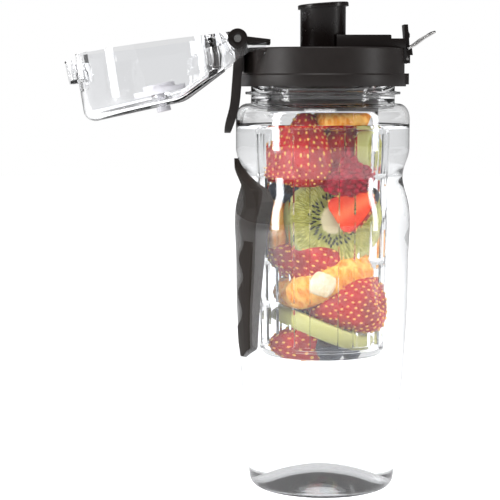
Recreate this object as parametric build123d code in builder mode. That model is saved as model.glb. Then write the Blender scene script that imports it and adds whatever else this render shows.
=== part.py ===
from build123d import *
import os
from math import cos, radians, sin, sqrt, tan

# Fruit infuser water bottle, in millimetres, with +Z up.
# The origin is on the bottle's axis, on the plane that it stands on.
# The hinge and the grip are on the -X side, and the latch is on the +X side.
# The lid is modelled shut, and turned to its open place when it is written.

# Clearances, shared by every piece
fit_gap = 0.3
seat_gap = 0.05
running_gap = 0.06
overrun = 8.0

# Bottle body
body_radius = 44.8
body_wall = 1.8
foot_radius = body_radius * 0.692
foot_width = 4.0
push_up_height = 12.0
corner_height = 4.5
corner_radius_share = 0.839
band_bottom = 176.5
band_height = 12.5
band_radius_share = 0.996
shoulder_rise = 10.3
shoulder_shares = ((0.68, 0.977), (0.97, 0.9))
cap_radius = body_radius - 3.0
neck_radius = cap_radius - 4.9
neck_wall = 2.4
bead_width = 2.9
bead_height = 1.4
bead_rise = 4.5

# Side of the body: share of the band's height, then share of the largest radius
side_shares = (
    (0.13, 0.875),
    (0.252, 0.917),
    (0.397, 0.958),
    (0.55, 0.989),
    (0.714, 1.0),
    (0.85, 0.982),
    (0.926, 0.922),
)

# Grip: its outline, its floor, its outer surface and its finger waves
grip_height = 102.3
grip_bottom = 69.3
grip_half_width = body_radius * 0.643
grip_corner = 3.0
grip_gap = 0.1
grip_outline_shares = ((0.0, 1.0), (0.924, 0.848), (1.0, 0.789), (0.872, 0.422), (0.753, 0.056), (0.403, 0.0))
grip_floor_shares = (
    (-0.15, 0.853),
    (0.2, 0.857),
    (0.4, 0.857),
    (0.6, 0.852),
    (0.77, 0.836),
    (0.87, 0.846),
    (1.0, 0.893),
    (1.1, 0.92),
)
grip_surface_shares = (
    (-0.15, 0.94),
    (0.01, 0.964),
    (0.27, 0.996),
    (0.55, 1.007),
    (0.79, 0.998),
    (0.98, 1.016),
    (1.1, 1.022),
)
grip_wave_shares = (
    (-0.15, 0.93),
    (0.02, 0.95),
    (0.134, 0.984),
    (0.232, 0.924),
    (0.325, 0.973),
    (0.407, 0.913),
    (0.5, 0.962),
    (0.579, 0.906),
    (0.662, 0.933),
    (0.773, 0.884),
    (0.925, 0.993),
    (1.1, 1.04),
)

# Screw cap
cap_bottom = 207.9
cap_height = 19.4
cap_band_width = 0.8
cap_band_height = 5.6
cap_wall = 2.9
cap_edge = 1.0
deck_thickness = 2.5
gasket_thickness = 1.4
cap_lug_width = 14.0
cap_lug_depth = 1.0

deck_top = cap_bottom + cap_height
deck_under = deck_top - deck_thickness
neck_top = deck_under - gasket_thickness - 2 * seat_gap
cap_bore = cap_radius - cap_wall

# Hinge, on a pin that runs along Y behind the cap
hinge_back = 1.7
hinge_rise = 4.2
pin_radius = 1.8
barrel_radius = 3.6
barrel_half_width = 18.7
loop_eye_width = 5.3
loop_eye_radius = 4.9
arm_width = 5.0
pin_cap_width = 2.5
open_angle = 187.9
stop_leaf_length = 16.4
stop_leaf_thickness = 2.1
stop_leaf_root = 3.6

hinge_x = -(cap_radius + hinge_back)
hinge_z = deck_top + hinge_rise
loop_inner = barrel_half_width + fit_gap
loop_outer = loop_inner + loop_eye_width
arm_inner = loop_outer + fit_gap
arm_outer = arm_inner + arm_width
pin_cap_inner = arm_outer + fit_gap
pin_cap_outer = pin_cap_inner + pin_cap_width

# Lid, measured from the cap's deck and from the bottle's axis
lid_inset = 1.1
lid_wall = 2.5
lid_draft = 1.3
lid_front_height = 35.6
lid_back_height = 31.5
lid_break_back = 11.0
lid_break_radius = 16.0
lid_slope = 28.1
lid_edge = 6.0
lid_ring_radius = 4.6
tail_length = 13.6
tail_rise = 6.3
tail_wall = 2.4
back_wall_forward = 9.0
back_wall_lift = 6.4

lid_radius = cap_radius - lid_inset
rim_z = deck_top + fit_gap

# Catch pocket at the front of the lid
hood_half_width = 9.4
hood_cheek = 1.5
hood_leaf = 1.1
hood_depth = 7.3
hood_bottom_rise = 2.5
hood_top_rise = 14.7
hood_web = 2.0
hood_lean = 0.85
window_half_width = 3.6
window_height = 5.0
window_bar = 2.6

# Latch housing on the deck
housing_half_width = 11.0
housing_back_gap = 0.3
platform_end = cap_radius - 7.6
platform_rise = 6.7
step_end = cap_radius - 0.2
step_rise = 4.8
housing_corner = 0.8
lever_half_width = 6.5
lever_slot_depth = 1.7
ear_thickness = 2.4
ear_drop = 7.7
ear_nose = 3.5
ear_nose_drop = 3.6
ear_step = 1.4
ear_rise = 1.4
latch_flat_depth = 1.0

# Latch lever, its pin and its spring
lever_pivot_out = 0.8
lever_pivot_drop = 5.5
lever_pin_radius = 0.7
lever_boss_radius = 1.3
lever_rise = 12.0
lever_thickness = 2.0
lever_lean = 1.0
barb_height = 3.6
barb_proud = 0.8
spring_radius = 1.4
spring_wire = 0.4
spring_turns = 5
spring_pocket = 4.0

# Wire bail
bail_wire = 0.6
bail_half_width = 10.3
bail_pivot_out = 0.9
bail_pivot_drop = 0.4
bail_reach = 13.5
bail_lift = 8.5
bail_bend = 1.6
bail_bow_shares = ((0.31, 0.27), (0.6, 0.62))

# Spout
spout_radius = 11.65
spout_bore = 8.6
spout_spigot = 10.0
spout_height = 22.75
spout_tilt = 4.2
lip_radius = 13.0
lip_thickness = 2.2
lip_edge = 0.6
rib_radius = 0.8
rib_angle = 31.0
spout_ring_width = 2.4
spout_ring_thickness = 1.6

# Infuser collar under the deck
collar_radius = 28.6
collar_wall = 2.2
collar_drop = 30.9
tab_count = 4
tab_angle = 30.0
tab_drop = 2.6
tab_wall = 1.3
tab_turn = -84.8
collar_bead = 0.5
collar_bead_height = 1.0

collar_bottom = deck_top - collar_drop

# Infuser basket
basket_radius = 26.1
basket_wall = 1.7
basket_bottom_radius = 24.0
basket_length = 126.4
basket_neck = 9.6
basket_flange = 1.4
slot_rows = 5
slot_count = 20
slot_width = 2.2
ring_height = 3.4
top_band_height = 8.3
base_height = 5.0
base_corner = 4.0
seal_thickness = 1.2
seal_width = 0.8

# Lid seal and its retainer
plug_radius = 8.2
plug_depth = 2.4
seal_radius = 13.6
seal_disc = 2.8
stem_radius = 2.2
knob_radius = 3.6
knob_height = 2.6
boss_radius = 5.0

# Carry loop
loop_drop = 47.0
loop_thickness = 4.6
loop_foot = 6.2
loop_flare_shares = ((0.27, 0.0), (0.53, 0.2), (0.73, 0.45), (0.86, 0.82), (1.0, 1.03))
loop_flare = 4.4
loop_corner = 7.0

os.makedirs("parts", exist_ok=True)


def body_section(inset):
    """Half of the bottle's section, moved inwards by a wall."""
    foot = foot_radius - inset
    corner = body_radius * corner_radius_share - inset
    band = body_radius * band_radius_share - inset
    band_top = band_bottom + band_height
    shoulder = band_top + shoulder_rise - inset
    neck = neck_radius if inset == 0 else neck_radius - neck_wall
    top = neck_top if inset == 0 else neck_top + overrun
    side = [(radius * body_radius - inset, height * band_bottom) for height, radius in side_shares]
    turn = [(radius * band, band_top + rise * (shoulder_rise - inset)) for rise, radius in shoulder_shares]
    with BuildSketch(Plane.XZ) as section:
        with BuildLine():
            dome = ThreePointArc(
                (0, push_up_height + inset),
                (foot / 2, push_up_height * 0.68 + inset),
                (foot - foot_width, inset),
            )
            flat = Line(dome @ 1, (foot, inset))
            bend = ThreePointArc(
                flat @ 1,
                (foot + (corner - foot) * 0.74, corner_height * 0.3 + inset),
                (corner, corner_height + inset),
            )
            curve = Spline([bend @ 1, *side, (band, band_bottom)], tangents=[(0.12, 1), (0, 1)])
            band_line = Line(curve @ 1, (band, band_top))
            ease = Spline([band_line @ 1, *turn, (neck, shoulder)], tangents=[(0, 1), (-1, 0.1)])
            rise_line = Line(ease @ 1, (neck, top))
            top_line = Line(rise_line @ 1, (0, top))
            Line(top_line @ 1, dome @ 0)
        make_face()
    return section.sketch


def turned(points, low, high):
    """A solid turned about the bottle's axis from a smooth line of (radius, height) points."""
    with BuildPart() as core:
        with BuildSketch(Plane.XZ):
            with BuildLine():
                edge = Spline(points)
                Polyline(edge @ 1, (0, high), (0, low), edge @ 0)
            make_face()
        revolve(axis=Axis.Z)
    return core.part


def grip_points(shares, change):
    """Points of a grip line, as (radius, height)."""
    return [(radius * body_radius + change, grip_bottom + height * grip_height) for height, radius in shares]


def grip_region(grow):
    """What lies between the pocket's floor and the open air, grown by a wall."""
    floor = grip_points(grip_floor_shares, -grow)
    with BuildPart() as region:
        with BuildSketch(Plane.YZ.offset(-body_radius - overrun)):
            right = [(y * grip_half_width, grip_bottom + z * grip_height) for y, z in grip_outline_shares]
            left = [(-y, z) for y, z in reversed(right[1:])]
            with BuildLine():
                Polyline(*right, *left, close=True)
            make_face()
            fillet(vertices(), radius=grip_corner)
            offset(amount=grow, kind=Kind.ARC, mode=Mode.REPLACE)
        extrude(amount=body_radius)
        add(turned(floor, floor[0][1], floor[-1][1]), mode=Mode.SUBTRACT)
    return region.part


def write(solid, name):
    """Label a finished piece and write it."""
    solid.label = name
    export_step(solid, f"parts/{name}.step")


# Bottle body: a clear shell, with a pocket that backs the grip
with BuildPart() as body_form:
    revolve(body_section(0), axis=Axis.Z)

with BuildPart() as pocket_backing:
    add(body_form.part)
    add(grip_region(body_wall), mode=Mode.INTERSECT)

with BuildPart() as bottle_body:
    add(body_form.part)
    revolve(body_section(body_wall), axis=Axis.Z, mode=Mode.SUBTRACT)
    add(pocket_backing.part)
    add(grip_region(0), mode=Mode.SUBTRACT)
    with BuildSketch(Plane.XZ):
        bead_z = band_bottom + band_height + shoulder_rise + bead_rise
        with BuildLine():
            Polyline(
                (neck_radius - neck_wall / 2, bead_z),
                (neck_radius + bead_width, bead_z),
                (neck_radius + bead_width, bead_z + bead_height),
                (neck_radius - neck_wall / 2, bead_z + bead_height),
                close=True,
            )
        make_face()
    revolve(axis=Axis.Z)
write(bottle_body.part, "bottle_body")

# Grip pad: fills the pocket, and is cut by the finger waves
with BuildPart() as grip_pad:
    surface = grip_points(grip_surface_shares, 0)
    add(turned(surface, surface[0][1], surface[-1][1]))
    add(grip_region(-grip_gap), mode=Mode.INTERSECT)
    with BuildSketch(Plane.XZ):
        wave = [(-x, z) for x, z in grip_points(grip_wave_shares, 0)]
        with BuildLine():
            front = Spline(wave)
            far = -body_radius - overrun
            Polyline(front @ 1, (far, wave[-1][1]), (far, wave[0][1]), front @ 0)
        make_face()
    extrude(amount=body_radius, both=True, mode=Mode.SUBTRACT)
write(grip_pad.part, "grip_pad")

# Cap gasket: a flat ring on the end of the neck
with BuildPart() as cap_gasket:
    with BuildSketch(Plane.XY.offset(neck_top + seat_gap)):
        Circle(cap_bore - fit_gap)
        Circle(neck_radius - neck_wall, mode=Mode.SUBTRACT)
    extrude(amount=gasket_thickness)
write(cap_gasket.part, "cap_gasket")

# Spout: a short tube with a slanted lip, and a spigot through the deck
lip_plane = Plane(
    origin=(0, 0, deck_top + spout_height),
    x_dir=(cos(radians(spout_tilt)), 0, sin(radians(spout_tilt))),
    z_dir=(-sin(radians(spout_tilt)), 0, cos(radians(spout_tilt))),
)
with BuildPart() as spout:
    with BuildSketch(Plane.XY.offset(deck_top)):
        Circle(spout_radius)
        with PolarLocations(spout_radius, 2, start_angle=-rib_angle, angular_range=4 * rib_angle):
            Circle(rib_radius)
    extrude(amount=spout_height + overrun)
    split(bisect_by=lip_plane, keep=Keep.BOTTOM)
    with BuildSketch(lip_plane):
        Circle(lip_radius)
    extrude(amount=-lip_thickness)
    fillet(edges().filter_by(GeomType.CIRCLE).group_by(Axis.Z)[-1], radius=lip_edge)
    with BuildSketch(Plane.XY.offset(deck_under - spout_ring_thickness)):
        Circle(spout_spigot)
    extrude(amount=deck_top - deck_under + spout_ring_thickness)
    with BuildSketch(Plane.XY.offset(deck_under - spout_ring_thickness)):
        Circle(spout_bore)
    extrude(amount=spout_height + deck_thickness + spout_ring_thickness + overrun, mode=Mode.SUBTRACT)
write(spout.part, "spout")

# Spout gasket: a ring on the spigot, under the deck
with BuildPart() as spout_gasket:
    with BuildSketch(Plane.XY.offset(deck_under - spout_ring_thickness)):
        Circle(spout_spigot + spout_ring_width)
        Circle(spout_spigot + seat_gap, mode=Mode.SUBTRACT)
    extrude(amount=spout_ring_thickness - seat_gap)
write(spout_gasket.part, "spout_gasket")

# Cap shell: deck, skirt and band, hinge barrel, stop leaf and the notches for the lid's tails
lever_x = cap_radius + lever_pivot_out
lever_z = deck_top - lever_pivot_drop
tail_reach = sqrt(tail_length**2 + tail_rise**2)
flat_x = cap_radius - latch_flat_depth
flat_bottom = deck_top - ear_drop - fit_gap
with BuildPart() as cap_shell:
    with BuildSketch(Plane.XZ):
        with BuildLine():
            Polyline(
                (cap_bore, cap_bottom),
                (cap_radius + cap_band_width, cap_bottom),
                (cap_radius + cap_band_width, cap_bottom + cap_band_height),
                (cap_radius, cap_bottom + cap_band_height + cap_band_width),
                (cap_radius, deck_top),
                (spout_spigot + seat_gap, deck_top),
                (spout_spigot + seat_gap, deck_under),
                (cap_bore, deck_under),
                close=True,
            )
        make_face()
        fillet(vertices().group_by(Axis.Y)[-1].sort_by(Axis.X)[-1], radius=cap_edge)
    revolve(axis=Axis.Z)
    with BuildSketch(Plane.XY.offset(cap_bottom + cap_edge)):
        with Locations((cap_radius, 0)):
            Rectangle(2 * (cap_band_width + cap_lug_depth), cap_lug_width)
    extrude(amount=cap_band_height)
    with BuildSketch(Plane.XZ):
        with Locations((hinge_x, hinge_z)):
            Circle(barrel_radius)
        with BuildLine():
            Polyline(
                (hinge_x - barrel_radius / 3, hinge_z),
                (hinge_x - barrel_radius / 3, deck_top - 2 * hinge_rise),
                (-cap_bore - cap_wall / 2, deck_top - 3 * hinge_rise),
                (-cap_bore - cap_wall / 2, deck_top),
                (hinge_x + barrel_radius * 0.9, hinge_z - barrel_radius / 3),
                close=True,
            )
        make_face()
        with BuildLine():
            leaf_low = hinge_z - stop_leaf_thickness
            tip_x = hinge_x + stop_leaf_length
            Polyline(
                (hinge_x, leaf_low),
                (tip_x, leaf_low),
                (tip_x, leaf_low + stop_leaf_thickness),
                (hinge_x + barrel_radius, leaf_low + stop_leaf_root),
                (hinge_x, leaf_low + stop_leaf_root),
                close=True,
            )
        make_face()
    extrude(amount=barrel_half_width, both=True)
    with BuildSketch(Plane.XZ):
        with Locations((hinge_x, hinge_z)):
            Circle(pin_radius + seat_gap)
    extrude(amount=barrel_half_width + overrun, both=True, mode=Mode.SUBTRACT)
    for side in (-1, 1):
        with BuildSketch(Plane.XZ.offset(side * (arm_inner - fit_gap))):
            with Locations((hinge_x, hinge_z)):
                Circle(tail_reach + fit_gap)
        extrude(amount=side * (arm_width + 2 * fit_gap + overrun), mode=Mode.SUBTRACT)
    with BuildSketch(Plane.XY.offset(flat_bottom)):
        with Locations((flat_x + overrun, 0)):
            Rectangle(2 * overrun, 2 * (lever_half_width + fit_gap + ear_thickness + fit_gap))
    extrude(amount=cap_height, mode=Mode.SUBTRACT)
write(cap_shell.part, "cap_shell")

# Latch housing: a platform and a step on the deck, with two ears in front of the cap
ear_inner = lever_half_width + fit_gap
ear_outer = ear_inner + ear_thickness
bail_x = cap_radius + bail_pivot_out
bail_z = deck_top - bail_pivot_drop
with BuildPart() as latch_housing:
    with BuildSketch(Plane.XZ):
        with BuildLine():
            Polyline(
                (0, deck_top + seat_gap),
                (0, deck_top + platform_rise),
                (platform_end, deck_top + platform_rise),
                (platform_end, deck_top + step_rise),
                (step_end, deck_top + step_rise),
                (step_end, deck_top + seat_gap),
                close=True,
            )
        make_face()
        fillet(vertices().group_by(Axis.Y)[-1].sort_by(Axis.X)[-1], radius=housing_corner)
    extrude(amount=housing_half_width, both=True)
    with BuildSketch(Plane.XY.offset(deck_top)):
        Circle(spout_radius + rib_radius + housing_back_gap)
    extrude(amount=platform_rise + overrun, mode=Mode.SUBTRACT)
    with BuildSketch(Plane.XZ):
        with BuildLine():
            nose_x = cap_radius + ear_nose
            ear_bottom = deck_top - ear_drop
            Polyline(
                (flat_x + seat_gap, ear_bottom),
                (nose_x - ear_step, ear_bottom),
                (nose_x - ear_step, deck_top - ear_nose_drop),
                (nose_x, deck_top - ear_nose_drop),
                (nose_x - ear_step / 2, deck_top + ear_rise),
                (step_end - lever_slot_depth, deck_top + ear_rise),
                (step_end - lever_slot_depth, deck_top + seat_gap),
                (flat_x + seat_gap, deck_top + seat_gap),
                close=True,
            )
        make_face()
    extrude(amount=ear_outer, both=True)
    with BuildSketch(Plane.XY.offset(ear_bottom - overrun)):
        with Locations((step_end - lever_slot_depth + overrun, 0)):
            Rectangle(2 * overrun, 2 * ear_inner)
    extrude(amount=ear_drop + step_rise + 2 * overrun, mode=Mode.SUBTRACT)
    with BuildSketch(Plane.XZ):
        with Locations((lever_x, lever_z)):
            Circle(lever_pin_radius + seat_gap)
        with Locations((bail_x, bail_z)):
            Circle(bail_wire + running_gap)
    extrude(amount=ear_outer + overrun, both=True, mode=Mode.SUBTRACT)
    spring_z = deck_top + step_rise / 2
    with BuildSketch(Plane.YZ.offset(step_end - lever_slot_depth - spring_pocket)):
        with Locations((0, spring_z)):
            Circle(spring_radius + spring_wire / 2 + fit_gap)
    extrude(amount=spring_pocket + overrun, mode=Mode.SUBTRACT)
write(latch_housing.part, "latch_housing")

# Latch lever: an upright tongue on a pin, leaning towards the hinge, with a barb for the window
lever_top = deck_top + lever_rise
lever_face = cap_radius + lever_pivot_out + lever_boss_radius
lever_back = lever_face - lever_thickness
barb_top = rim_z - fit_gap + hood_bottom_rise + window_bar + barb_height + fit_gap
with BuildPart() as latch_lever:
    with BuildSketch(Plane.XZ):
        with BuildLine():
            Polyline(
                (lever_x - lever_boss_radius / 2, lever_z),
                (lever_back, deck_top),
                (lever_back - lever_lean / 3, deck_top + step_rise),
                (lever_back - lever_lean, lever_top),
                (lever_face - lever_lean, lever_top),
                (lever_face - lever_lean / 3, deck_top + step_rise),
                (lever_face, deck_top),
                (lever_face, lever_z),
                close=True,
            )
        make_face()
        with Locations((lever_x, lever_z)):
            Circle(lever_boss_radius)
    extrude(amount=lever_half_width, both=True)
    with BuildSketch(Plane.XZ):
        with BuildLine():
            Polyline(
                (lever_face - lever_lean - lever_thickness / 2, barb_top),
                (lever_face - lever_lean + barb_proud / 2, barb_top),
                (lever_face - lever_lean / 2 + barb_proud, barb_top - barb_height / 2),
                (lever_face - lever_lean / 2 + barb_proud, barb_top - barb_height),
                (lever_face - lever_lean - lever_thickness / 2, barb_top - barb_height),
                close=True,
            )
        make_face()
    extrude(amount=window_half_width - fit_gap, both=True)
    with BuildSketch(Plane.XZ):
        with Locations((lever_x, lever_z)):
            Circle(lever_pin_radius + running_gap)
    extrude(amount=lever_half_width + overrun, both=True, mode=Mode.SUBTRACT)
write(latch_lever.part, "latch_lever")

# Latch pin: pressed through the ears
with BuildPart() as latch_pin:
    with BuildSketch(Plane.XZ):
        with Locations((lever_x, lever_z)):
            Circle(lever_pin_radius)
    extrude(amount=ear_outer, both=True)
write(latch_pin.part, "latch_pin")

# Latch spring: a coil between the housing's pocket and the lever
spring_start = step_end - lever_slot_depth - spring_pocket + seat_gap + spring_wire
spring_end = lever_back - lever_lean / 6 - seat_gap - spring_wire
spring_length = spring_end - spring_start
with BuildPart() as latch_spring:
    with BuildLine():
        coil = Helix(
            pitch=spring_length / spring_turns,
            height=spring_length,
            radius=spring_radius,
            center=(spring_start, 0, spring_z),
            direction=(1, 0, 0),
        )
    with BuildSketch(Plane(origin=coil @ 0, z_dir=coil % 0)):
        Circle(spring_wire / 2)
    sweep(path=coil, is_frenet=True)
write(latch_spring.part, "latch_spring")
print("least gap between the spring's turns", round(spring_length / spring_turns - spring_wire, 2))

# Wire bail: two gently bent arms and a cross bar, with ends that turn into the ears
with BuildPart() as wire_bail:
    bail_points = [(bail_x + bail_reach * along, bail_z + bail_lift * up) for along, up in bail_bow_shares]
    bail_tip = (bail_x + bail_reach, bail_z + bail_lift)
    near = [(bail_x, bail_z), *bail_points, bail_tip]
    route = [(bail_x, -ear_inner - ear_thickness / 3, bail_z)]
    route += [(x, -bail_half_width, z) for x, z in near]
    route += [(x, bail_half_width, z) for x, z in reversed(near)]
    route += [(bail_x, ear_inner + ear_thickness / 3, bail_z)]
    half_bends = [bail_wire, 2 * bail_bend, 2 * bail_bend, bail_bend]
    bends = [*half_bends, *reversed(half_bends)]
    with BuildLine():
        wire = FilletPolyline(*route, radius=bends)
    with BuildSketch(Plane(origin=wire @ 0, z_dir=wire % 0)):
        Circle(bail_wire)
    sweep(path=wire)
write(wire_bail.part, "wire_bail")

# Hinge pin and the black caps on its ends
with BuildPart() as hinge_pin:
    with BuildSketch(Plane.XZ):
        with Locations((hinge_x, hinge_z)):
            Circle(pin_radius)
    extrude(amount=pin_cap_outer + seat_gap, both=True)
write(hinge_pin.part, "hinge_pin")

with BuildPart() as pin_caps:
    for side in (-1, 1):
        with BuildSketch(Plane.XZ.offset(side * pin_cap_inner)):
            with Locations((hinge_x, hinge_z)):
                Circle(loop_eye_radius)
                Circle(pin_radius + seat_gap, mode=Mode.SUBTRACT)
        extrude(amount=side * pin_cap_width)
write(pin_caps.part, "pin_caps")

# Carry loop: two arms that hang from the pin, and a flared cross bar
loop_bottom = hinge_z - loop_drop
with BuildPart() as carry_loop:
    with BuildSketch(Plane.XZ):
        with BuildLine():
            middle = [
                (hinge_x - loop_flare * out, hinge_z - loop_drop * down)
                for down, out in loop_flare_shares
            ]
            outer_side = [(x - loop_thickness / 2, z) for x, z in middle]
            inner_side = [(x + loop_thickness / 2, z) for x, z in middle]
            inner_side[-1] = (middle[-1][0] + loop_thickness / 6, loop_bottom)
            down_side = Spline([(hinge_x - loop_thickness / 2, hinge_z), *outer_side])
            up_side = Spline([*reversed(inner_side), (hinge_x + loop_thickness / 2, hinge_z)])
            Line(down_side @ 1, up_side @ 0)
            Line(up_side @ 1, down_side @ 0)
        make_face()
    extrude(amount=loop_outer, both=True)
    with BuildSketch(Plane.XZ):
        with Locations((hinge_x, hinge_z)):
            Circle(loop_eye_radius)
    extrude(amount=loop_outer, both=True)
    with BuildSketch(Plane.YZ.offset(hinge_x - loop_eye_radius - loop_flare - overrun)):
        with BuildLine():
            low, high = loop_bottom + loop_foot, hinge_z + loop_eye_radius + overrun
            Polyline(
                (-loop_inner, high),
                (-loop_inner, low),
                (loop_inner, low),
                (loop_inner, high),
                close=True,
            )
        make_face()
        fillet(vertices().group_by(Axis.Y)[0], radius=loop_corner)
    extrude(amount=2 * (loop_eye_radius + loop_flare + overrun), mode=Mode.SUBTRACT)
    fillet(edges().filter_by(Axis.X).group_by(Axis.Z)[0], radius=loop_corner)
    with BuildSketch(Plane.XZ):
        with Locations((hinge_x, hinge_z)):
            Circle(pin_radius + running_gap)
    extrude(amount=loop_outer + overrun, both=True, mode=Mode.SUBTRACT)
write(carry_loop.part, "carry_loop")


def lid_dome(inset):
    """The lid's dome, moved inwards by a wall and open below."""
    front = lid_radius + overrun
    rise = (lid_front_height - lid_back_height) / (lid_radius + lid_break_back)
    drop = inset / cos(radians(lid_slope))
    back = -front - overrun
    slope = tan(radians(lid_slope))
    low = rim_z - (overrun if inset else 0)
    with BuildPart() as dome:
        with BuildSketch(Plane.XZ):
            with BuildLine():
                Polyline(
                    (front, low),
                    (front, deck_top + lid_front_height + rise * overrun - inset),
                    (-lid_break_back, deck_top + lid_back_height - inset),
                    (back, deck_top + lid_back_height - (-lid_break_back - back) * slope - drop),
                    (back, low),
                    close=True,
                )
            make_face()
            peak = vertices().filter_by_position(Axis.X, -lid_break_back - fit_gap, -lid_break_back + fit_gap)
            fillet(peak, radius=lid_break_radius)
        extrude(amount=front, both=True)
        with BuildSketch(Plane.XY.offset(low)):
            Circle(lid_radius - inset)
        extrude(amount=lid_front_height + 2 * overrun, taper=lid_draft, mode=Mode.INTERSECT)
        rounded = edges().filter_by(lambda e: e.center().Z > rim_z + hinge_rise and e.length > lid_edge)
        rounded = rounded.filter_by(lambda e: sqrt((e @ 0).X ** 2 + (e @ 0).Y ** 2) > lid_radius * 0.8)
        rounded = rounded.filter_by(lambda e: sqrt((e @ 0.5).X ** 2 + (e @ 0.5).Y ** 2) > lid_radius * 0.8)
        fillet(rounded, radius=lid_edge - inset)
    return dome.part


# Lid shell: a clear dome with two hinge arms, a back wall and a catch pocket
slope_at_ring = lid_back_height - (cap_radius + hinge_back - lid_break_back) * tan(radians(lid_slope))
tail_x = hinge_x - tail_length
hood_inner_low = lever_face + fit_gap
hood_x = hood_inner_low + hood_leaf
hood_back = hood_x - hood_leaf - hood_depth
hood_top = deck_top + hood_top_rise
hood_bottom = deck_top + hood_bottom_rise
with BuildPart() as lid_shell:
    add(lid_dome(0))
    with BuildSketch(Plane.XY.offset(rim_z)):
        with Locations((hinge_x + back_wall_forward - overrun * 3, 0)):
            Rectangle(6 * overrun, 2 * arm_inner)
    extrude(amount=lid_front_height + overrun, mode=Mode.SUBTRACT)
    with BuildSketch(Plane.XY.offset(rim_z)):
        with Locations((hinge_x + back_wall_forward + lid_wall / 2, 0)):
            Rectangle(lid_wall + 2 * fit_gap, 2 * loop_inner)
    extrude(amount=deck_top + back_wall_lift - rim_z, mode=Mode.SUBTRACT)
    for side in (-1, 1):
        with BuildSketch(Plane.XZ.offset(side * arm_inner)):
            with BuildLine():
                ring_top = deck_top + slope_at_ring
                run = stop_leaf_length
                tail_z = hinge_z + tail_rise
                bend_x = hinge_x - tail_length * 0.4
                bend_z = tail_z + tail_wall * 0.3
                Polyline(
                    (hinge_x + run, rim_z),
                    (hinge_x + run, ring_top + run * tan(radians(lid_slope)) - tail_wall / 2),
                    (hinge_x, ring_top - tail_wall / 6),
                    (bend_x, bend_z),
                    (tail_x, tail_z),
                    (tail_x, tail_z - tail_wall),
                    (bend_x, bend_z - tail_wall),
                    (hinge_x - lid_ring_radius * 0.8, hinge_z + lid_ring_radius * 0.6),
                    (hinge_x, hinge_z),
                    (hinge_x + lid_ring_radius * 0.5, rim_z),
                    close=True,
                )
            make_face()
            with Locations((hinge_x, hinge_z)):
                Circle(lid_ring_radius)
        extrude(amount=side * arm_width)
    with BuildSketch(Plane.XZ):
        with BuildLine():
            Polyline(
                (hood_back - lid_wall, hood_bottom),
                (hood_x, hood_bottom),
                (hood_x - hood_lean, hood_top),
                (hood_back - lid_wall, hood_top),
                close=True,
            )
        make_face()
    extrude(amount=hood_half_width, both=True)
    add(lid_dome(lid_wall), mode=Mode.SUBTRACT)
    with BuildSketch(Plane.XY.offset(hood_bottom)):
        with Locations((hood_back - lid_wall / 2, 0)):
            Rectangle(lid_wall, 2 * hood_half_width)
        with Locations(((hood_back + lid_radius) / 2 - lid_wall, hood_half_width - hood_cheek / 2)):
            Rectangle(lid_radius - hood_back, hood_cheek)
        with Locations(((hood_back + lid_radius) / 2 - lid_wall, hood_cheek / 2 - hood_half_width)):
            Rectangle(lid_radius - hood_back, hood_cheek)
    extrude(amount=hood_top - hood_bottom)
    with BuildSketch(Plane.XY.offset(hood_top - hood_web)):
        with Locations(((hood_back - lid_wall + lid_radius - lid_wall) / 2, 0)):
            Rectangle(lid_radius - hood_back, 2 * hood_half_width)
    extrude(amount=hood_web)
    with BuildSketch(Plane.XZ):
        with BuildLine():
            Polyline(
                (hood_back, hood_bottom - overrun),
                (hood_inner_low, hood_bottom - overrun),
                (hood_inner_low, hood_bottom),
                (hood_inner_low - hood_lean, hood_top - hood_web),
                (hood_back, hood_top - hood_web),
                close=True,
            )
        make_face()
    extrude(amount=hood_half_width - hood_cheek, both=True, mode=Mode.SUBTRACT)
    with BuildSketch(Plane.YZ.offset(hood_inner_low - hood_lean - hood_leaf / 2)):
        with Locations((0, hood_bottom + window_bar + window_height / 2)):
            Rectangle(2 * window_half_width, window_height)
    extrude(amount=hood_leaf * 3, mode=Mode.SUBTRACT)
    with BuildSketch(Plane.XZ):
        with BuildLine():
            Polyline(
                (0, rim_z - overrun),
                (step_end + fit_gap, rim_z - overrun),
                (step_end + fit_gap, deck_top + step_rise + fit_gap),
                (platform_end + 2 * fit_gap, deck_top + step_rise + fit_gap),
                (platform_end + 2 * fit_gap, deck_top + platform_rise + fit_gap),
                (0, deck_top + platform_rise + fit_gap),
                close=True,
            )
        make_face()
    extrude(amount=housing_half_width + fit_gap, both=True, mode=Mode.SUBTRACT)
    with BuildSketch(Plane.XZ):
        with BuildLine():
            wall_x = hinge_x + back_wall_forward
            wall_top = ring_top + back_wall_forward * tan(radians(lid_slope))
            Polyline(
                (wall_x, deck_top + back_wall_lift),
                (wall_x + lid_wall, deck_top + back_wall_lift),
                (wall_x + lid_wall, wall_top - lid_wall / 2),
                (wall_x, wall_top - lid_wall / 2),
                close=True,
            )
        make_face()
    extrude(amount=arm_inner + arm_width / 4, both=True)
    with BuildSketch(lip_plane.offset(seal_disc + fit_gap)):
        Circle(boss_radius)
    extrude(amount=lid_back_height - spout_height - seal_disc - lid_wall / 2)
    with BuildSketch(lip_plane):
        Circle(stem_radius + seat_gap)
    extrude(amount=lid_front_height, mode=Mode.SUBTRACT)
    with BuildSketch(Plane.XZ):
        with Locations((hinge_x, hinge_z)):
            Circle(pin_radius + running_gap)
    extrude(amount=arm_outer + overrun, both=True, mode=Mode.SUBTRACT)

hinge_axis = Axis((hinge_x, 0, hinge_z), (0, 1, 0))
write(lid_shell.part.rotate(hinge_axis, -open_angle), "lid_shell")

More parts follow.
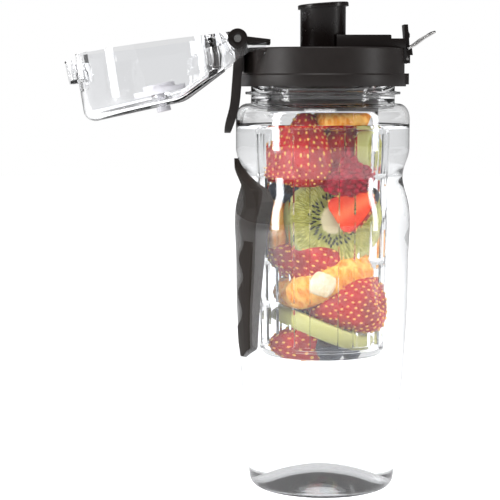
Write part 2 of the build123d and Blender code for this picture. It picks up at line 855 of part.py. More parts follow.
# Lid seal: a soft disc with a plug for the spout
with BuildPart() as lid_seal:
    with BuildSketch(lip_plane.offset(fit_gap)):
        Circle(seal_radius)
    extrude(amount=seal_disc - seat_gap)
    with BuildSketch(lip_plane.offset(fit_gap - plug_depth)):
        Circle(plug_radius)
    extrude(amount=plug_depth)
    fillet(edges().group_by(Axis.Z)[0], radius=lip_edge)
    with BuildSketch(lip_plane):
        Circle(stem_radius + seat_gap)
    extrude(amount=lid_front_height, mode=Mode.SUBTRACT)
write(lid_seal.part.rotate(hinge_axis, -open_angle), "lid_seal")

# Seal retainer: a stem through the lid with a round knob outside
lid_pitch = (lid_front_height - lid_back_height) / (lid_radius + lid_break_back)
lid_over_lip = lid_back_height - spout_height + lid_break_back * lid_pitch
with BuildPart() as seal_retainer:
    with BuildSketch(lip_plane.offset(seat_gap)):
        Circle(stem_radius)
    extrude(amount=lid_over_lip + knob_height / 2)
    with BuildSketch(lip_plane.offset(lid_over_lip + seat_gap * 2)):
        Circle(knob_radius)
    extrude(amount=knob_height)
    fillet(edges().group_by(Axis.Z)[-1], radius=lip_edge)
write(seal_retainer.part.rotate(hinge_axis, -open_angle), "seal_retainer")

# Infuser collar: a tube under the deck, with four tabs over the basket's ring
collar_bore = collar_radius - collar_wall
with BuildPart() as infuser_collar:
    with BuildSketch(Plane.XY.offset(collar_bottom)):
        Circle(collar_radius)
        Circle(collar_bore, mode=Mode.SUBTRACT)
    extrude(amount=deck_under - seat_gap - collar_bottom)
    with BuildSketch(Plane.XY.offset(collar_bottom - tab_drop)):
        with PolarLocations(0, tab_count, start_angle=tab_turn):
            with BuildLine():
                half = radians(tab_angle / 2)
                inside = collar_radius - tab_wall
                outer_arc = ThreePointArc(
                    (collar_radius * cos(half), -collar_radius * sin(half)),
                    (collar_radius, 0),
                    (collar_radius * cos(half), collar_radius * sin(half)),
                )
                inner_arc = ThreePointArc(
                    (inside * cos(half), inside * sin(half)),
                    (inside, 0),
                    (inside * cos(half), -inside * sin(half)),
                )
                Line(outer_arc @ 1, inner_arc @ 0)
                Line(inner_arc @ 1, outer_arc @ 0)
            make_face()
    extrude(amount=tab_drop + collar_wall)
    for rise in (1, 2):
        with BuildSketch(Plane.XY.offset(collar_bottom + rise * 2 * collar_bead_height + collar_wall)):
            Circle(collar_radius + collar_bead)
            Circle(collar_radius - collar_wall / 2, mode=Mode.SUBTRACT)
        extrude(amount=collar_bead_height)
write(infuser_collar.part, "infuser_collar")

# Basket seal: a soft ring between the basket's shoulder and the collar
seal_z = collar_bottom - seat_gap - seal_thickness
with BuildPart() as basket_seal:
    with BuildSketch(Plane.XY.offset(seal_z)):
        Circle(basket_radius + seat_gap + seal_width)
        Circle(basket_radius + seat_gap, mode=Mode.SUBTRACT)
    extrude(amount=seal_thickness)
write(basket_seal.part, "basket_seal")

# Basket body: a slightly tapered clear tube with rows of upright slots
shoulder_z = seal_z - seat_gap
flange_top = collar_bottom - tab_drop - fit_gap
basket_top = collar_bottom + basket_neck
basket_low = collar_bottom - basket_length
shoulder_radius = collar_radius - tab_wall - fit_gap
flange_low = flange_top - basket_flange
first_row = basket_low + base_height + ring_height / 2
row_pitch = (flange_low - top_band_height - first_row + ring_height) / slot_rows
basket_bottom_wall = basket_bottom_radius - basket_wall
with BuildPart() as basket_body:
    with BuildSketch(Plane.XZ):
        with BuildLine():
            Polyline(
                (basket_bottom_wall, basket_low + base_height),
                (basket_bottom_radius, basket_low + base_height),
                (basket_radius, flange_low),
                (collar_radius, flange_low),
                (collar_radius, flange_top),
                (shoulder_radius, flange_top),
                (shoulder_radius, shoulder_z),
                (basket_radius, shoulder_z),
                (basket_radius, basket_top),
                (basket_radius - basket_wall, basket_top),
                (basket_radius - basket_wall, flange_low),
                close=True,
            )
        make_face()
    revolve(axis=Axis.Z)
    for row in range(slot_rows):
        with BuildSketch(Plane.XY.offset(first_row + row * row_pitch)):
            with PolarLocations(basket_radius, slot_count):
                Rectangle(4 * basket_wall + 2 * (basket_radius - basket_bottom_radius), slot_width)
        extrude(amount=row_pitch - ring_height, mode=Mode.SUBTRACT)
write(basket_body.part, "basket_body")

# Basket base: a clear cup that closes the tube's lower end
with BuildPart() as basket_base:
    with BuildSketch(Plane.XZ):
        with BuildLine():
            Polyline(
                (0, basket_low),
                (basket_bottom_radius, basket_low),
                (basket_bottom_radius, basket_low + base_height - seat_gap),
                (basket_bottom_wall - fit_gap, basket_low + base_height - seat_gap),
                (basket_bottom_wall - fit_gap, basket_low + base_height + ring_height / 3),
                (basket_bottom_wall - basket_wall, basket_low + base_height + ring_height / 3),
                (basket_bottom_wall - basket_wall, basket_low + 2 * basket_wall),
                (0, basket_low + basket_wall),
                close=True,
            )
        make_face()
        fillet(vertices().group_by(Axis.Y)[0].sort_by(Axis.X)[-1], radius=base_corner)
    revolve(axis=Axis.Z)
write(basket_base.part, "basket_base")
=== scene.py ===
import bmesh
import bpy
import math
import numpy as np
import random
from mathutils import Matrix, Vector


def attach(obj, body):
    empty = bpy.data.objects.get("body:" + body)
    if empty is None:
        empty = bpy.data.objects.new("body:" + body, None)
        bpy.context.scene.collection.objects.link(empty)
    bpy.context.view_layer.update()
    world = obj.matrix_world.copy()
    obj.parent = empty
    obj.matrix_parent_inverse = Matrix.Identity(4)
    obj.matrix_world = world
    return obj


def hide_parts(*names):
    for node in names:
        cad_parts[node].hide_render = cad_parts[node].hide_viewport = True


# Fruit infuser water bottle, in metres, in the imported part's own place.
# The pieces follow in the order in which the bottle is put together and filled.
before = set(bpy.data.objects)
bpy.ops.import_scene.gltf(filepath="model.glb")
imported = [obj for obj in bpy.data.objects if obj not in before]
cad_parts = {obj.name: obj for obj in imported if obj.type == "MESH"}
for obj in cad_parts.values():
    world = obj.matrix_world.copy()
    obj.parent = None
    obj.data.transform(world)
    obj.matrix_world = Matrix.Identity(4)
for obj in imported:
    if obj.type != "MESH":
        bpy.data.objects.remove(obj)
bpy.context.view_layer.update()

# Bottle body: blow-moulded clear plastic, one shell with a foot ring, a pushed-up base, a waist,
# a shoulder, a neck with a bead, and a pocket pressed in behind the grip. It has a finer skin
# than the CAD shell that it stands for, because light bends through it.
WALL = 0.0018
FOOT_AND_DOME = [(0.0, 0.012), (0.0085, 0.0108), (0.0165, 0.0076), (0.023, 0.0032), (0.0265, 0.0006), (0.028, 0.0)]
FOOT_TO_CORNER = [(0.0302, 0.0), (0.033, 0.0003), (0.0359, 0.00135), (0.03759, 0.0045)]
SIDE = [
    (0.03759, 0.0045), (0.0392, 0.02295), (0.04108, 0.04448), (0.04292, 0.07007), (0.04431, 0.09708),
    (0.0448, 0.12602), (0.04399, 0.15003), (0.04131, 0.16344), (0.04462, 0.1765),
]
SHOULDER = [(0.04462, 0.189), (0.0436, 0.196), (0.04016, 0.19899), (0.0369, 0.1993)]
NECK = [(0.0369, 0.2036), (0.0378, 0.2038), (0.0397, 0.2039), (0.0398, 0.2046), (0.0397, 0.2052), (0.0378, 0.2053), (0.0369, 0.2056), (0.0369, 0.2233)]
POCKET_EDGE = [(0.0, 0.1716), (0.0266, 0.156), (0.0288, 0.15), (0.0251, 0.1125), (0.0217, 0.075), (0.0116, 0.0693)]
POCKET_FLOOR = [(0.054, 0.0382), (0.0898, 0.0384), (0.1102, 0.0384), (0.1307, 0.0382), (0.1481, 0.0375), (0.1583, 0.0379), (0.1716, 0.04), (0.1818, 0.0412)]


def smooth_line(points, count, start=None, end=None):
    """A cubic spline through (radius, height) points, with its end directions given or free."""
    p = np.array(points, float)
    t = np.concatenate([[0], np.cumsum(np.linalg.norm(np.diff(p, axis=0), axis=1))])
    h = np.diff(t)
    n = len(p)
    a = np.zeros((n, n))
    b = np.zeros((n, p.shape[1]))
    for i in range(1, n - 1):
        a[i, i - 1 : i + 2] = h[i], 2 * (h[i] + h[i - 1]), h[i - 1]
        b[i] = 3 * (h[i] * (p[i] - p[i - 1]) / h[i - 1] + h[i - 1] * (p[i + 1] - p[i]) / h[i])
    a[0, 0] = a[-1, -1] = 1
    if start is None:
        a[0, 1], b[0] = 0.5, 1.5 * (p[1] - p[0]) / h[0]
    else:
        b[0] = np.array(start) / np.linalg.norm(start)
    if end is None:
        a[-1, -2], b[-1] = 0.5, 1.5 * (p[-1] - p[-2]) / h[-1]
    else:
        b[-1] = np.array(end) / np.linalg.norm(end)
    m = np.linalg.solve(a, b)
    s = np.linspace(0, t[-1], count)
    i = np.clip(np.searchsorted(t, s, side="right") - 1, 0, n - 2)
    u = ((s - t[i]) / h[i])[:, None]
    k = h[i][:, None]
    return (
        (2 * u**3 - 3 * u**2 + 1) * p[i] + (u**3 - 2 * u**2 + u) * k * m[i]
        + (3 * u**2 - 2 * u**3) * p[i + 1] + (u**3 - u**2) * k * m[i + 1]
    )


def bottle_line(inset):
    """The bottle's outside from the middle of its base to its rim, or its inside, a wall further in."""
    line = np.concatenate([
        smooth_line(FOOT_AND_DOME, 14, (1, 0), (1, 0)),
        smooth_line(FOOT_TO_CORNER, 9, (1, 0), (0.12, 1))[:-1],
        smooth_line(SIDE, 100, (0.12, 1), (0, 1)),
        np.linspace(SIDE[-1], SHOULDER[0], 6)[1:],
        smooth_line(SHOULDER, 12, (0, 1), (-1, 0.1))[1:],
    ])
    if inset == 0:
        return np.concatenate([line, NECK])
    step = np.gradient(line, axis=0)
    step /= np.linalg.norm(step, axis=1)[:, None]
    inner = line + inset * np.stack([-step[:, 1], step[:, 0]], 1)
    inner[0, 0] = 0
    inner[:, 0] = np.maximum(inner[:, 0], 0)
    inner[-4:, 0] = np.maximum(inner[-4:, 0], 0.0345)
    return np.concatenate([inner[:-1], [(0.0345, 0.1985), (0.0345, 0.2055), (0.0345, 0.2233)]])


def pocket_share(y, z, grow):
    """1 inside the grip's pocket, 0 outside it, and between them over its rounded edge."""
    right = POCKET_EDGE + [(-a, b) for a, b in reversed(POCKET_EDGE)]
    p = np.array(right)
    q = np.roll(p, -1, axis=0)
    point = np.stack([y, z], -1)[..., None, :]
    along = np.clip(((point - p) * (q - p)).sum(-1) / np.maximum(((q - p) ** 2).sum(-1), 1e-12), 0, 1)
    away = np.linalg.norm(point - p - along[..., None] * (q - p), axis=-1).min(-1)
    crossing = (p[:, 1] > z[..., None]) != (q[:, 1] > z[..., None])
    cut = p[:, 0] + (z[..., None] - p[:, 1]) * (q[:, 0] - p[:, 0]) / np.where(q[:, 1] == p[:, 1], 1, q[:, 1] - p[:, 1])
    inside = (crossing & (y[..., None] < cut)).sum(-1) % 2 == 1
    signed = np.where(inside, away, -away) + grow
    return np.clip(signed / 0.0012 + 0.5, 0, 1)


def turned_skin(line, columns, inset):
    """Points of a line turned about the bottle's axis, pressed in where the grip sits."""
    angle = np.linspace(0, 2 * math.pi, columns, endpoint=False)
    r, a = np.meshgrid(line[:, 0], angle, indexing="ij")
    z = np.repeat(line[:, 1:], columns, 1)
    floor = np.interp(z, [p[1] for p in POCKET_FLOOR], [p[0] for p in POCKET_FLOOR]) - inset
    share = pocket_share(r * np.sin(a), z, inset) * (np.cos(a) < -0.2) * (z > 0.06)
    share = share * share * (3 - 2 * share)
    r = np.where(floor < r, r + (floor - r) * share, r)
    return np.stack([r * np.cos(a), r * np.sin(a), z], -1)


def skinned(name, rings, closed=False):
    """A mesh through rings of points, each ring closed, with poles where a ring has no width."""
    count, columns = rings.shape[:2]
    mesh = bpy.data.meshes.new(name)
    grid = np.arange(count * columns).reshape(count, columns)
    low, high = grid[:-1], grid[1:]
    faces = np.stack([low, np.roll(low, -1, 1), np.roll(high, -1, 1), high], -1).reshape(-1, 4)
    if closed:
        join = np.stack([grid[-1], np.roll(grid[-1], -1), np.roll(grid[0], -1), grid[0]], -1)
        faces = np.concatenate([faces, join])
    mesh.from_pydata(rings.reshape(-1, 3).tolist(), [], faces.tolist())
    work = bmesh.new()
    work.from_mesh(mesh)
    bmesh.ops.remove_doubles(work, verts=work.verts, dist=1e-6)
    bmesh.ops.recalc_face_normals(work, faces=work.faces)
    work.to_mesh(mesh)
    work.free()
    mesh.validate()
    mesh.shade_smooth()
    piece = bpy.data.objects.new(name, mesh)
    bpy.context.scene.collection.objects.link(piece)
    return piece


def effect_group(name, inputs, outputs):
    """An empty shader group with named sockets, as (group, its input node, its output node)."""
    group = bpy.data.node_groups.new(name, "ShaderNodeTree")
    for label, kind, value in inputs:
        socket = group.interface.new_socket(label, in_out="INPUT", socket_type=kind)
        socket.default_value = value
    for label, kind in outputs:
        group.interface.new_socket(label, in_out="OUTPUT", socket_type=kind)
    return group, group.nodes.new("NodeGroupInput"), group.nodes.new("NodeGroupOutput")


def noise_of(tree, place, scale, detail=2.0, rough=0.5):
    """A noise texture read at a place."""
    noise = tree.nodes.new("ShaderNodeTexNoise")
    tree.links.new(place, noise.inputs["Vector"])
    if isinstance(scale, (int, float)):
        noise.inputs["Scale"].default_value = scale
    else:
        tree.links.new(scale, noise.inputs["Scale"])
    noise.inputs["Detail"].default_value = detail
    noise.inputs["Roughness"].default_value = rough
    return noise.outputs["Fac"]


def sum_of(tree, kind, a, b, clamp=False):
    """One maths node on two values or sockets."""
    maths = tree.nodes.new("ShaderNodeMath")
    maths.operation = kind
    maths.use_clamp = clamp
    for socket, value in zip(maths.inputs, (a, b)):
        if isinstance(value, (int, float)):
            socket.default_value = value
        else:
            tree.links.new(value, socket)
    return maths.outputs[0]


# The faint waves and handling haze that every clear moulded wall has
clear_wall, given, out = effect_group(
    "clear wall",
    [("Wave size", "NodeSocketFloat", 40.0), ("Wave", "NodeSocketFloat", 0.5), ("Haze", "NodeSocketFloat", 0.02)],
    [("Roughness", "NodeSocketFloat"), ("Height", "NodeSocketFloat")],
)
place = clear_wall.nodes.new("ShaderNodeTexCoord").outputs["Object"]
waves = noise_of(clear_wall, place, given.outputs["Wave size"], 1.0)
clear_wall.links.new(sum_of(clear_wall, "MULTIPLY", waves, given.outputs["Wave"]), out.inputs["Height"])
smears = sum_of(clear_wall, "SUBTRACT", noise_of(clear_wall, place, 90.0, 3.0), 0.45, True)
clear_wall.links.new(sum_of(clear_wall, "MULTIPLY", smears, given.outputs["Haze"]), out.inputs["Roughness"])


def clear_plastic(name, tint, bend, wave_size=40.0, wave=0.5, haze=0.05, bump=0.0002, shade=(1, 1, 1)):
    """Clear moulded plastic that bends light, and lets the lamps through to what is inside."""
    material = bpy.data.materials.new(name)
    material.use_nodes = True
    tree = material.node_tree
    surface = tree.nodes["Principled BSDF"]
    surface.inputs["Base Color"].default_value = (*tint, 1)
    surface.inputs["Transmission Weight"].default_value = 1.0
    surface.inputs["IOR"].default_value = bend
    skin = tree.nodes.new("ShaderNodeGroup")
    skin.node_tree = clear_wall
    skin.inputs["Wave size"].default_value = wave_size
    skin.inputs["Wave"].default_value = wave
    skin.inputs["Haze"].default_value = haze
    tree.links.new(skin.outputs["Roughness"], surface.inputs["Roughness"])
    relief = tree.nodes.new("ShaderNodeBump")
    relief.inputs["Distance"].default_value = bump
    relief.inputs["Strength"].default_value = 1.0
    tree.links.new(skin.outputs["Height"], relief.inputs["Height"])
    tree.links.new(relief.outputs["Normal"], surface.inputs["Normal"])
    through = tree.nodes.new("ShaderNodeBsdfTransparent")
    through.inputs["Color"].default_value = (*shade, 1)
    rays = tree.nodes.new("ShaderNodeLightPath")
    mix = tree.nodes.new("ShaderNodeMixShader")
    tree.links.new(rays.outputs["Is Shadow Ray"], mix.inputs[0])
    tree.links.new(surface.outputs[0], mix.inputs[1])
    tree.links.new(through.outputs[0], mix.inputs[2])
    tree.links.new(mix.outputs[0], tree.nodes["Material Output"].inputs["Surface"])
    return material


outside = turned_skin(bottle_line(0), 192, 0)
inside = turned_skin(bottle_line(WALL), 192, WALL)
bottle = skinned("bottle_shell", np.concatenate([outside, inside[::-1]]))
bottle.data.materials.append(clear_plastic("clear bottle plastic", (0.985, 0.988, 0.992), 1.49, shade=(0.97, 0.97, 0.975)))
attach(bottle, "bottle")
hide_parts("bottle_body")

# Water: fills the bottle to just below the shoulder, round the infuser and through its slots.
# It reaches a hair into the wall, so that light passes from plastic to water with no air between.
WATER_TOP = 0.1882
inner_line = bottle_line(WALL - 0.00025)
wet = inner_line[inner_line[:, 1] < WATER_TOP - 0.0006]
edge = np.interp(WATER_TOP, inner_line[60:, 1], inner_line[60:, 0])
surface_line = [(edge, WATER_TOP + 0.0006), (edge - 0.0006, WATER_TOP + 0.0001), (edge - 0.0018, WATER_TOP - 0.0001), (edge * 0.6, WATER_TOP - 0.0002), (0, WATER_TOP - 0.0002)]
water_line = np.concatenate([wet, surface_line])
water = skinned("water", turned_skin(water_line, 160, WALL - 0.00025))
water.data.materials.append(clear_plastic("water", (0.99, 0.995, 1.0), 1.333, 25.0, 0.15, 0.0, 0.0002, (0.99, 0.99, 0.995)))
water.visible_shadow = False
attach(water, "bottle")

# Moulded black pieces: cap, latch, spout and loop. Their edges are eased as a mould leaves them.
# The finish is a fine spark grain with handling marks, from satin on the cap to near gloss on the latch.
moulded_skin, given, out = effect_group(
    "moulded skin",
    [
        ("Colour", "NodeSocketColor", (0.02, 0.02, 0.02, 1)), ("Grain size", "NodeSocketFloat", 2500.0),
        ("Sheen", "NodeSocketFloat", 0.35), ("Marks", "NodeSocketFloat", 0.1),
    ],
    [("Colour", "NodeSocketColor"), ("Roughness", "NodeSocketFloat"), ("Height", "NodeSocketFloat")],
)
place = moulded_skin.nodes.new("ShaderNodeTexCoord").outputs["Object"]
grain = noise_of(moulded_skin, place, given.outputs["Grain size"], 2.0, 0.6)
moulded_skin.links.new(grain, out.inputs["Height"])
marks = noise_of(moulded_skin, place, 160.0, 4.0, 0.7)
spread = sum_of(moulded_skin, "MULTIPLY", sum_of(moulded_skin, "SUBTRACT", marks, 0.5), given.outputs["Marks"])
moulded_skin.links.new(sum_of(moulded_skin, "ADD", given.outputs["Sheen"], spread, True), out.inputs["Roughness"])
tone = moulded_skin.nodes.new("ShaderNodeMix")
tone.data_type = "RGBA"
tone.blend_type = "MULTIPLY"
lighter = moulded_skin.nodes.new("ShaderNodeMapRange")
lighter.inputs["To Min"].default_value = 0.75
lighter.inputs["To Max"].default_value = 1.25
moulded_skin.links.new(marks, lighter.inputs["Value"])
tone.inputs["Factor"].default_value = 1.0
moulded_skin.links.new(given.outputs["Colour"], tone.inputs["A"])
moulded_skin.links.new(lighter.outputs["Result"], tone.inputs["B"])
moulded_skin.links.new(tone.outputs["Result"], out.inputs["Colour"])


def moulded_finish(name, colour, sheen, grain_size=2500.0, grain_depth=0.00003, marks=0.12, shine=0.5):
    """A moulded opaque finish: one colour, a spark grain, and marks from handling."""
    material = bpy.data.materials.new(name)
    material.use_nodes = True
    tree = material.node_tree
    surface = tree.nodes["Principled BSDF"]
    skin = tree.nodes.new("ShaderNodeGroup")
    skin.node_tree = moulded_skin
    skin.inputs["Colour"].default_value = (*colour, 1)
    skin.inputs["Sheen"].default_value = sheen
    skin.inputs["Grain size"].default_value = grain_size
    skin.inputs["Marks"].default_value = marks
    surface.inputs["Specular IOR Level"].default_value = shine
    tree.links.new(skin.outputs["Colour"], surface.inputs["Base Color"])
    tree.links.new(skin.outputs["Roughness"], surface.inputs["Roughness"])
    relief = tree.nodes.new("ShaderNodeBump")
    relief.inputs["Distance"].default_value = grain_depth
    tree.links.new(skin.outputs["Height"], relief.inputs["Height"])
    tree.links.new(relief.outputs["Normal"], surface.inputs["Normal"])
    return material


def eased(node, body, edge, steps=2, angle=32, flatten=True):
    """A copy of a CAD piece with its edges rounded a little, which stands for it."""
    work = bmesh.new()
    work.from_mesh(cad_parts[node].data)
    bmesh.ops.remove_doubles(work, verts=work.verts, dist=2e-6)
    if flatten:
        bmesh.ops.dissolve_limit(work, angle_limit=math.radians(0.5), verts=work.verts, edges=work.edges)
    mesh = bpy.data.meshes.new(node + "_eased")
    work.to_mesh(mesh)
    work.free()
    mesh.materials.clear()
    piece = bpy.data.objects.new(node + "_eased", mesh)
    bpy.context.scene.collection.objects.link(piece)
    if edge:
        bevel = piece.modifiers.new("edges", "BEVEL")
        bevel.width = edge
        bevel.segments = steps
        bevel.limit_method = "ANGLE"
        bevel.angle_limit = math.radians(angle)
        bevel.harden_normals = False
    mesh.shade_smooth()
    mesh.set_sharp_from_angle(angle=math.radians(angle))
    if edge:
        shown = bpy.data.meshes.new_from_object(piece.evaluated_get(bpy.context.evaluated_depsgraph_get()))
        piece.modifiers.clear()
        piece.data = shown
        shown.shade_smooth()
        shown.set_sharp_from_angle(angle=math.radians(angle))
    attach(piece, body)
    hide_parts(node)
    return piece


grip_rubber = moulded_finish("grip rubber", (0.017, 0.012, 0.009), 0.6, 1500.0, 0.0001, shine=0.25)
grip = eased("grip_pad", "bottle", 0.0004)
grip.data.materials.append(grip_rubber)

cap_black = moulded_finish("satin black plastic", (0.015, 0.0115, 0.0105), 0.42, shine=0.3)
latch_black = moulded_finish("smooth black plastic", (0.007, 0.0045, 0.004), 0.3, 3500.0, 0.00001, shine=0.35)
spout_black = moulded_finish("glossy black plastic", (0.006, 0.0035, 0.003), 0.28, 3500.0, 0.00001, shine=0.3)
for node, body, edge, finish, slot in (
    ("cap_shell", "cap", 0.0003, cap_black, "cap_black"),
    ("spout", "cap", 0.0003, spout_black, "spout_black"),
    ("latch_housing", "cap", 0.0002, latch_black, "latch_black"),
    ("latch_lever", "lever", 0.0002, latch_black, "latch_black"),
    ("pin_caps", "cap", 0.0004, latch_black, "latch_black"),
    ("carry_loop", "loop", 0.0007, cap_black, "cap_black"),
    ("infuser_collar", "cap", 0.0002, cap_black, "cap_black"),
):
    piece = eased(node, body, edge)
    piece.data.materials.append(finish)

# Steel wire parts: bright drawn wire, with a fine grain and handling marks
steel = moulded_finish("bright drawn wire", (0.58, 0.57, 0.56), 0.22, 4000.0, 0.000005)
steel.node_tree.nodes["Principled BSDF"].inputs["Metallic"].default_value = 1.0
for node in ("latch_pin", "latch_spring", "wire_bail", "hinge_pin"):
    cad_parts[node].data.materials.clear()
    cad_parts[node].data.materials.append(steel)

# Soft rings: milky silicone
silicone = moulded_finish("milky silicone", (0.75, 0.75, 0.77), 0.5, 1800.0)
seal_grey = moulded_finish("grey silicone", (0.62, 0.61, 0.64), 0.45, 1800.0)
for node, finish in (
    ("cap_gasket", silicone), ("spout_gasket", silicone), ("basket_seal", silicone),
    ("lid_seal", seal_grey), ("seal_retainer", seal_grey),
):
    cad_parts[node].data.materials.clear()
    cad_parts[node].data.materials.append(finish)

# Lid: clear injection-moulded dome with two hinge arms and a catch pocket
lid = eased("lid_shell", "lid", 0, flatten=False)
lid.data.materials.append(clear_plastic("clear lid plastic", (0.975, 0.98, 0.99), 1.46, 60.0, 0.3, 0.02, shade=(0.95, 0.95, 0.955)))

# Infuser basket: clear slotted tube and its base, under water, where plastic bends light only a little
basket_plastic = clear_plastic("clear basket plastic", (0.985, 0.988, 0.99), 1.14, 90.0, 0.3, 0.0, shade=(0.96, 0.96, 0.965))
for node in ("basket_body", "basket_base"):
    piece = eased(node, "basket", 0.0003)
    piece.data.materials.append(basket_plastic)
    piece.visible_shadow = False

# Cut fruit in the infuser. Each fruit is a skin of rings with its own place stored on it, so that its
# flesh, streaks and seeds follow its shape. Seeds and drupelets are set by one Geometry Nodes tree.
flesh, given, out = effect_group(
    "wet flesh",
    [
        ("Colour", "NodeSocketColor", (0.4, 0.0, 0.0, 1)), ("Shade", "NodeSocketColor", (0.2, 0.0, 0.0, 1)),
        ("Blotch size", "NodeSocketFloat", 180.0), ("Pore size", "NodeSocketFloat", 900.0), ("Wet", "NodeSocketFloat", 0.25),
    ],
    [("Colour", "NodeSocketColor"), ("Roughness", "NodeSocketFloat"), ("Height", "NodeSocketFloat")],
)
place = flesh.nodes.new("ShaderNodeTexCoord").outputs["Object"]
blotch = flesh.nodes.new("ShaderNodeMapRange")
blotch.inputs["From Min"].default_value = 0.35
blotch.inputs["From Max"].default_value = 0.65
flesh.links.new(noise_of(flesh, place, given.outputs["Blotch size"], 3.0), blotch.inputs["Value"])
blend = flesh.nodes.new("ShaderNodeMix")
blend.data_type = "RGBA"
flesh.links.new(blotch.outputs["Result"], blend.inputs["Factor"])
flesh.links.new(given.outputs["Shade"], blend.inputs["A"])
flesh.links.new(given.outputs["Colour"], blend.inputs["B"])
flesh.links.new(blend.outputs["Result"], out.inputs["Colour"])
pores = noise_of(flesh, place, given.outputs["Pore size"], 2.0, 0.6)
flesh.links.new(pores, out.inputs["Height"])
flesh.links.new(sum_of(flesh, "ADD", given.outputs["Wet"], sum_of(flesh, "MULTIPLY", pores, 0.15)), out.inputs["Roughness"])


def flesh_material(name, colour, shade, blotch_size=180.0, pore_size=900.0, wet=0.2, depth=0.0002):
    """A wet flesh or skin, as (material, its tree, its shader, its flesh group)."""
    material = bpy.data.materials.new(name)
    material.use_nodes = True
    tree = material.node_tree
    surface = tree.nodes["Principled BSDF"]
    group = tree.nodes.new("ShaderNodeGroup")
    group.node_tree = flesh
    group.inputs["Colour"].default_value = (*colour, 1)
    group.inputs["Shade"].default_value = (*shade, 1)
    group.inputs["Blotch size"].default_value = blotch_size
    group.inputs["Pore size"].default_value = pore_size
    group.inputs["Wet"].default_value = wet
    surface.inputs["Specular IOR Level"].default_value = 0.14
    relief = tree.nodes.new("ShaderNodeBump")
    relief.inputs["Distance"].default_value = depth
    tree.links.new(group.outputs["Height"], relief.inputs["Height"])
    tree.links.new(relief.outputs["Normal"], surface.inputs["Normal"])
    tree.links.new(group.outputs["Colour"], surface.inputs["Base Color"])
    tree.links.new(group.outputs["Roughness"], surface.inputs["Roughness"])
    return material, tree, surface, group


def mixed(tree, share, low, high):
    """A colour between two colours or colour sockets."""
    blend = tree.nodes.new("ShaderNodeMix")
    blend.data_type = "RGBA"
    if isinstance(share, (int, float)):
        blend.inputs["Factor"].default_value = share
    else:
        tree.links.new(share, blend.inputs["Factor"])
    for socket, value in ((blend.inputs["A"], low), (blend.inputs["B"], high)):
        if isinstance(value, tuple):
            socket.default_value = (*value, 1)
        else:
            tree.links.new(value, socket)
    return blend.outputs["Result"]


def stepped(tree, value, low, high):
    """A share that rises from 0 at low to 1 at high."""
    ease = tree.nodes.new("ShaderNodeMapRange")
    ease.interpolation_type = "SMOOTHSTEP"
    ease.inputs["From Min"].default_value = low
    ease.inputs["From Max"].default_value = high
    tree.links.new(value, ease.inputs["Value"])
    return ease.outputs["Result"]


def own(tree, name):
    """A value or place stored on the fruit's skin."""
    stored = tree.nodes.new("ShaderNodeAttribute")
    stored.attribute_name = name
    return stored


strawberry_red, tree, surface, group = flesh_material("strawberry", (0.5, 0.006, 0.008), (0.28, 0.002, 0.005), 120.0, 700.0, 0.16, 0.00012)
cut_side = own(tree, "cut").outputs["Fac"]
from_middle = own(tree, "from_middle").outputs["Fac"]
inner = mixed(tree, stepped(tree, from_middle, 0.05, 0.5), (0.84, 0.2, 0.07), (0.76, 0.05, 0.012))
rim = mixed(tree, stepped(tree, from_middle, 0.7, 0.98), inner, (0.6, 0.012, 0.01))
tree.links.new(mixed(tree, cut_side, group.outputs["Colour"], rim), surface.inputs["Base Color"])

seed_gold = flesh_material("strawberry seed", (0.85, 0.52, 0.12), (0.75, 0.36, 0.07), 400.0, 3000.0, 0.3, 0.00005)[0]
kiwi_seed = flesh_material("kiwi seed", (0.012, 0.01, 0.008), (0.004, 0.003, 0.003), 400.0, 3000.0, 0.15, 0.00005)[0]
raspberry_red = flesh_material("raspberry", (0.42, 0.004, 0.03), (0.24, 0.002, 0.012), 300.0, 1500.0, 0.14, 0.0001)[0]

blueberry_skin, tree, surface, group = flesh_material("blueberry", (0.045, 0.056, 0.078), (0.014, 0.016, 0.026), 220.0, 1400.0, 0.35, 0.00008)
crown = stepped(tree, own(tree, "cut").outputs["Fac"], 0.2, 0.8)
tree.links.new(mixed(tree, crown, group.outputs["Colour"], (0.022, 0.013, 0.012)), surface.inputs["Base Color"])

# Kiwi: cream core, dark seed ring, green flesh with pale rays, paler towards the peel
kiwi_flesh, tree, surface, group = flesh_material("kiwi", (0.33, 0.31, 0.035), (0.2, 0.2, 0.018), 200.0, 1200.0, 0.2, 0.00015)
middle = own(tree, "from_middle").outputs["Fac"]
around = tree.nodes.new("ShaderNodeCombineXYZ")
tree.links.new(sum_of(tree, "MULTIPLY", own(tree, "turn").outputs["Fac"], 1.0), around.inputs["X"])
tree.links.new(sum_of(tree, "MULTIPLY", middle, 0.6), around.inputs["Y"])
rays_of_flesh = tree.nodes.new("ShaderNodeTexNoise")
rays_of_flesh.inputs["Scale"].default_value = 9.0
rays_of_flesh.inputs["Detail"].default_value = 2.0
tree.links.new(around.outputs[0], rays_of_flesh.inputs["Vector"])
ray = stepped(tree, rays_of_flesh.outputs["Fac"], 0.46, 0.62)
green = mixed(tree, ray, group.outputs["Colour"], (0.56, 0.54, 0.16))
ring = sum_of(tree, "MULTIPLY", stepped(tree, middle, 0.24, 0.32), sum_of(tree, "SUBTRACT", 1.0, stepped(tree, middle, 0.45, 0.56)))
deep = mixed(tree, sum_of(tree, "MULTIPLY", ring, 0.55), green, (0.16, 0.18, 0.02))
pale = mixed(tree, stepped(tree, middle, 0.82, 0.99), deep, (0.52, 0.53, 0.22))
core = mixed(tree, stepped(tree, middle, 0.22, 0.3), (0.72, 0.64, 0.4), pale)
side = own(tree, "cut").outputs["Fac"]
tree.links.new(mixed(tree, side, (0.44, 0.43, 0.15), core), surface.inputs["Base Color"])

